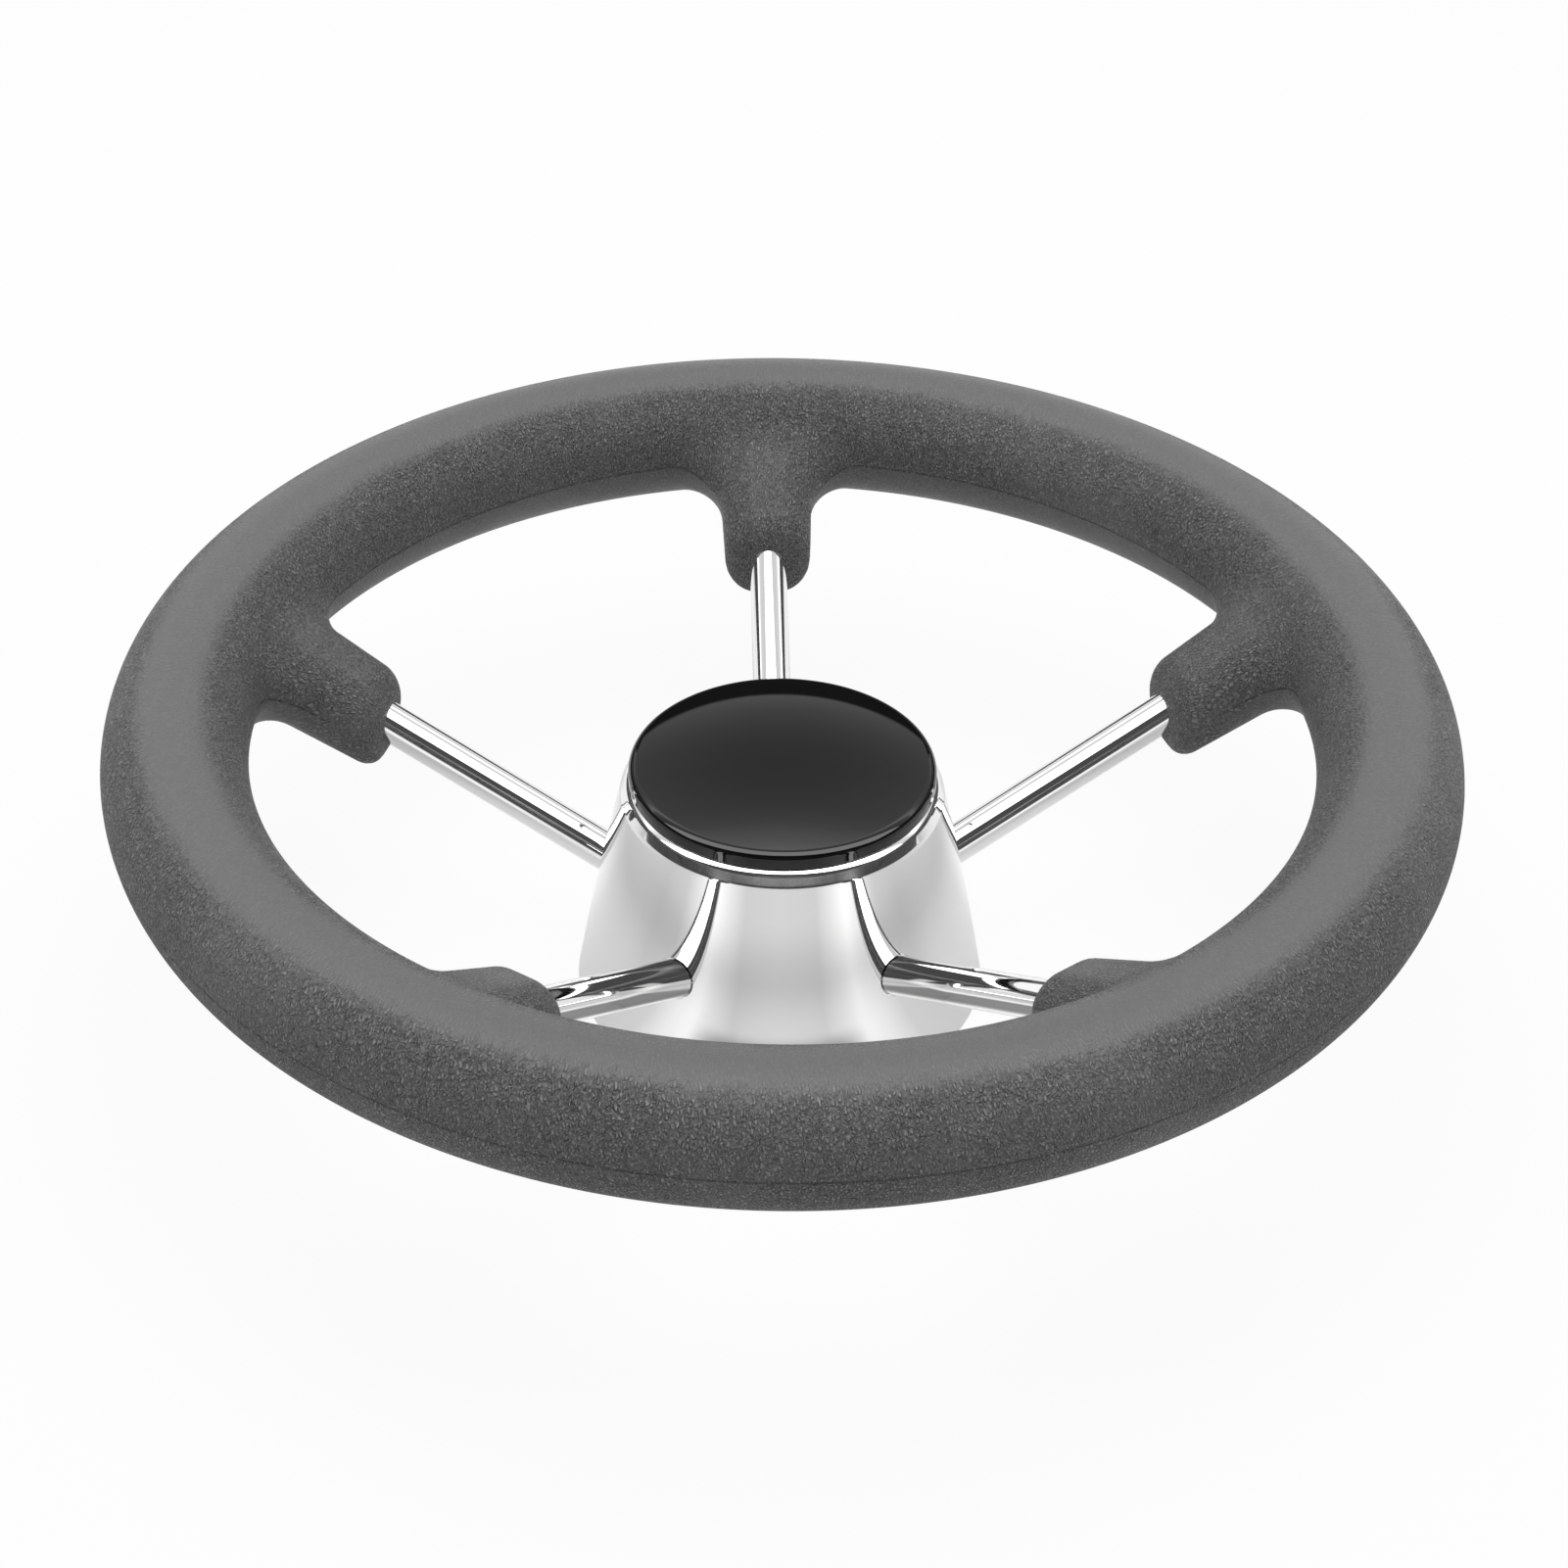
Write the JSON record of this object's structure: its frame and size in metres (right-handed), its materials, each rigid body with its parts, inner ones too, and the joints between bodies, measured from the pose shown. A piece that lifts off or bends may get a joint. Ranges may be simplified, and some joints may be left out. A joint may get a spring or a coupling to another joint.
{
  "type": "boat steering wheel",
  "caption": "Dished boat steering wheel with a soft foam rim, straight polished stainless spokes, a bell hub and a domed plastic centre cap.",
  "frame": {"origin": "centre of the bell's open base, on the wheel's axis", "axes": "+Z along the wheel's axis towards the driver; one spoke points along +Y"},
  "size_m": [0.343, 0.343, 0.0966],
  "materials": {
    "grip_foam": "fine leather grain",
    "polished_stainless": "mirror polished stainless steel",
    "plain_stainless": "turned stainless steel",
    "cap_plastic": "high gloss"
  },
  "bodies": {
    "root": {"rim_grip": "grip_foam", "rim_core": "plain_stainless", "spoke_1": "polished_stainless", "spoke_2": "polished_stainless", "spoke_3": "polished_stainless", "spoke_4": "polished_stainless", "spoke_5": "polished_stainless", "hub_bell": "polished_stainless", "hub_boss": "plain_stainless", "shaft_nut": "plain_stainless", "centre_cap": "cap_plastic"}
  },
  "joints": []
}
